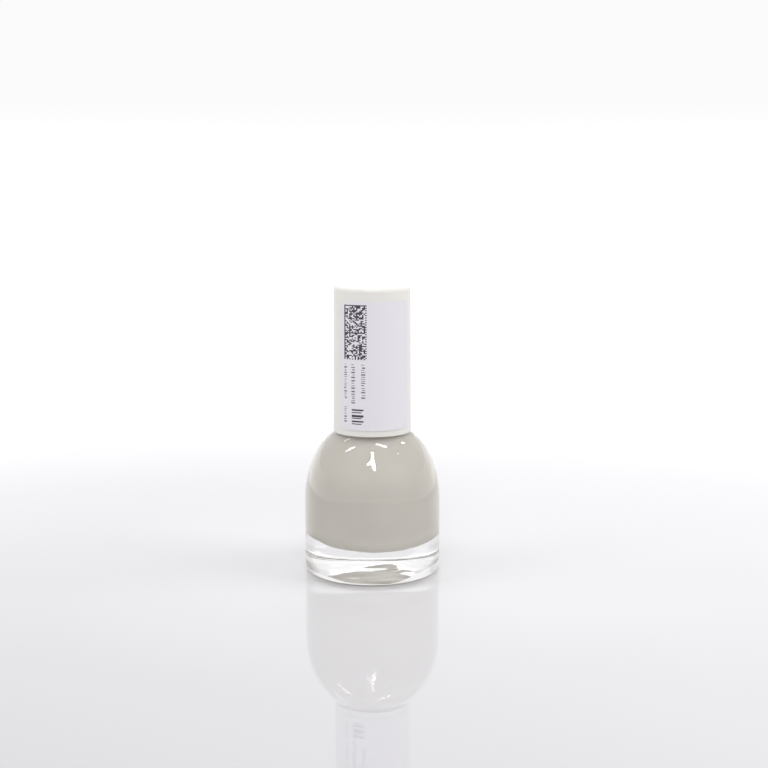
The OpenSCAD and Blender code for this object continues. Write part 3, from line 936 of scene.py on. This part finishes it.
# a lit backdrop behind the bottle, dimmer sides and front, and a bright ceiling
flat = wnode("ShaderNodeMath", (wnode("ShaderNodeMath", (X, X), operation="MULTIPLY").outputs[0],
                                wnode("ShaderNodeMath", (Y, Y), operation="MULTIPLY").outputs[0]), operation="ADD").outputs[0]
behind = wnode("ShaderNodeMath", (Y, wnode("ShaderNodeMath", (flat, 0.5), operation="POWER").outputs[0]), operation="DIVIDE").outputs[0]
back = wramp(behind, math.cos(math.radians(53)), math.cos(math.radians(47)), 0.70, 0.93)
back = wnode("ShaderNodeMath", (back, wramp(behind, math.cos(math.radians(48)), 1.0, 0.0, 0.04)), operation="ADD").outputs[0]
back = wnode("ShaderNodeMath", (back, wramp(Zd, -0.03, 0.08, 1.25, 1.0)), operation="MULTIPLY").outputs[0]
front = wramp(behind, math.cos(math.radians(135)), math.cos(math.radians(95)), 0.40, 0.0)
front = wnode("ShaderNodeMath", (front, wramp(Zd, 0.0, 0.45, 0.4, 1.0)), operation="MULTIPLY").outputs[0]
around = wnode("ShaderNodeMath", (back, front), operation="ADD").outputs[0]
ceiling = wramp(Zd, 0.42, 0.75, 0.0, 1.0)
low = wnode("ShaderNodeMath", (1.0, ceiling), operation="SUBTRACT").outputs[0]
part_a = wnode("ShaderNodeMath", (around, low), operation="MULTIPLY").outputs[0]
part_b = wnode("ShaderNodeMath", (ceiling, 0.70), operation="MULTIPLY").outputs[0]
total = wnode("ShaderNodeMath", (part_a, part_b), operation="ADD").outputs[0]
glow = wnode("ShaderNodeMath", (wramp(behind, math.cos(math.radians(38)), math.cos(math.radians(12)), 0.0, 1.25),
                                wramp(Zd, 0.44, 0.66, 0.0, 1.0)), operation="MULTIPLY").outputs[0]
glow = wnode("ShaderNodeMath", (glow, wramp(Zd, 0.90, 0.99, 1.0, 0.0)), operation="MULTIPLY").outputs[0]
total = wnode("ShaderNodeMath", (total, glow), operation="ADD").outputs[0]
wt.links.new(total, bg.inputs["Strength"])
bg.inputs["Color"].default_value = (1.0, 0.995, 1.005, 1)


def direction(az, el):
    """Unit vector at azimuth az (0 in front, + to the right) and elevation el, in degrees."""
    a, b = math.radians(az), math.radians(el)
    return Vector((math.sin(a) * math.cos(b), -math.cos(a) * math.cos(b), math.sin(b)))


AIM = Vector((0, 0, 0.03))


def panel(name, centre, along, w, h, radiance, mirrored):
    """An area light facing the bottle: w along the given direction, h across it.
    A mirrored one shows as a highlight on polished surfaces; the others only light matt ones."""
    n = (centre - AIM).normalized()
    x = (along - n * along.dot(n)).normalized()
    y = n.cross(x)
    data = bpy.data.lights.new(name, "AREA")
    data.shape, data.size, data.size_y = "RECTANGLE", w, h
    data.energy = radiance * math.pi * w * h
    ob = bpy.data.objects.new(name, data)
    ob.matrix_world = Matrix.Translation(centre) @ Matrix((x, y, n)).transposed().to_4x4()
    ob.visible_glossy, ob.visible_diffuse, ob.visible_transmission = mirrored, not mirrored, not mirrored
    ob.visible_camera = False
    scene.collection.objects.link(ob)
    return ob


not_table = bpy.data.collections.new("lit_by_strips")
not_table.objects.link(table)
not_table.collection_objects[0].light_linking.link_state = "EXCLUDE"


def strip(name, a, b, width, radiance, dist=2.0):
    """A narrow softbox between two directions; width in radians as seen from the bottle.
    Flagged off the table, so that none lies mirrored beside the bottle."""
    p, q = AIM + direction(*a) * dist, AIM + direction(*b) * dist
    ob = panel(name, (p + q) / 2, q - p, (q - p).length, width * dist, radiance, True)
    ob.light_linking.receiver_collection = not_table
    return ob


def fill(name, az, el, dist, size, radiance):
    """A soft fill that the polished surfaces do not mirror."""
    c = AIM + direction(az, el) * dist
    along = Vector((math.cos(math.radians(az)), math.sin(math.radians(az)), 0))
    return panel(name, c, along, size, size, radiance, False)


strip("key_front_top", (1.0, 66.0), (1.0, 50), 0.068, 40.0)
strip("key_front_mid", (-4.5, 46.5), (5.5, 47.5), 0.140, 40.0)
strip("key_front_tip", (-11.5, 44.4), (-3.0, 45.8), 0.070, 40.0)
strip("key_front_low", (0.8, 48), (4.6, 39), 0.110, 40.0)
strip("key_front_foot", (3.8, 40.5), (5.6, 35), 0.065, 40.0)
strip("key_left", (-83, 49.5), (-76.5, 64.0), 0.064, 18.0)
strip("key_right", (41, 81.5), (67, 66.8), 0.066, 18.0)
strip("rim_left", (-119, 49.5), (-139, 58), 0.075, 5.0)
strip("spot_right", (116.5, 44.5), (120, 47.0), 0.060, 22.0)
strip("spot_side", (75.5, 47.5), (79, 50), 0.06, 6.0)
for side, name, rad in ((-1, "left", 0.66), (1, "right", 0.53)):
    # broad softboxes at the back, mirrored along the edges of the straight glass
    for k, az, w, part in ((1, 124, 1.00, 1.0), (2, 144, 0.42, 0.95), (5, 154, 0.28, 0.6), (3, 103.5, 0.42, 0.70), (4, 91.5, 0.42, 0.35)):
        c = AIM + direction(side * az, 2.5) * 2.0
        along = Vector((math.cos(math.radians(side * az)), math.sin(math.radians(side * az)), 0))
        panel("edge_%s_%d" % (name, k), c, along, w, 0.63, rad * part, True).light_linking.receiver_collection = not_table
table_only = bpy.data.collections.new("lit_by_bounce")
table_only.objects.link(table)
for side, name, rad in ((-1, "left", 0.85), (1, "right", 0.58)):
    # softboxes that reach the straight glass by way of the table
    for k, az, w, part in ((1, 134, 1.92, 1.0),):
        c = AIM + direction(side * az, 6.65) * 2.0
        along = Vector((math.cos(math.radians(side * az)), math.sin(math.radians(side * az)), 0))
        box = panel("bounce_%s_%d" % (name, k), c, along, w, 0.54, rad * part, True)
        box.light_linking.receiver_collection = table_only
        # soft ends: the box dims towards its two ends
        box.data.use_nodes = True
        nt = box.data.node_tree
        em = next(n for n in nt.nodes if n.type == "EMISSION")
        geo = nt.nodes.new("ShaderNodeNewGeometry")
        uv = nt.nodes.new("ShaderNodeSeparateXYZ")
        nt.links.new(geo.outputs["Parametric"], uv.inputs[0])
        off = nt.nodes.new("ShaderNodeMath")
        off.operation = "SUBTRACT"
        off.inputs[1].default_value = 0.5
        nt.links.new(uv.outputs["X"], off.inputs[0])
        far = nt.nodes.new("ShaderNodeMath")
        far.operation = "ABSOLUTE"
        nt.links.new(off.outputs[0], far.inputs[0])
        dim = nt.nodes.new("ShaderNodeMapRange")
        dim.interpolation_type = "SMOOTHSTEP"
        for key, val in (("From Min", 0.28), ("From Max", 0.5), ("To Min", 1.0), ("To Max", 0.0)):
            dim.inputs[key].default_value = val
        nt.links.new(far.outputs[0], dim.inputs["Value"])
        nt.links.new(dim.outputs["Result"], em.inputs["Strength"])
fill("fill_front", -3, 48, 2.0, 1.2, 2.5)
fill("fill_right", 84, 40, 2.0, 1.2, 3.6)
fill("fill_left", -84, 40, 2.0, 1.2, 2.3)

scene.cycles.max_bounces = 32
scene.cycles.diffuse_bounces = 8
scene.cycles.glossy_bounces = 16
scene.cycles.transmission_bounces = 24
scene.cycles.transparent_max_bounces = 16
scene.cycles.blur_glossy = 0.0

scene.view_settings.view_transform = "Standard"
scene.view_settings.look = "None"
scene.view_settings.exposure = 0.0
scene.view_settings.gamma = 1.0
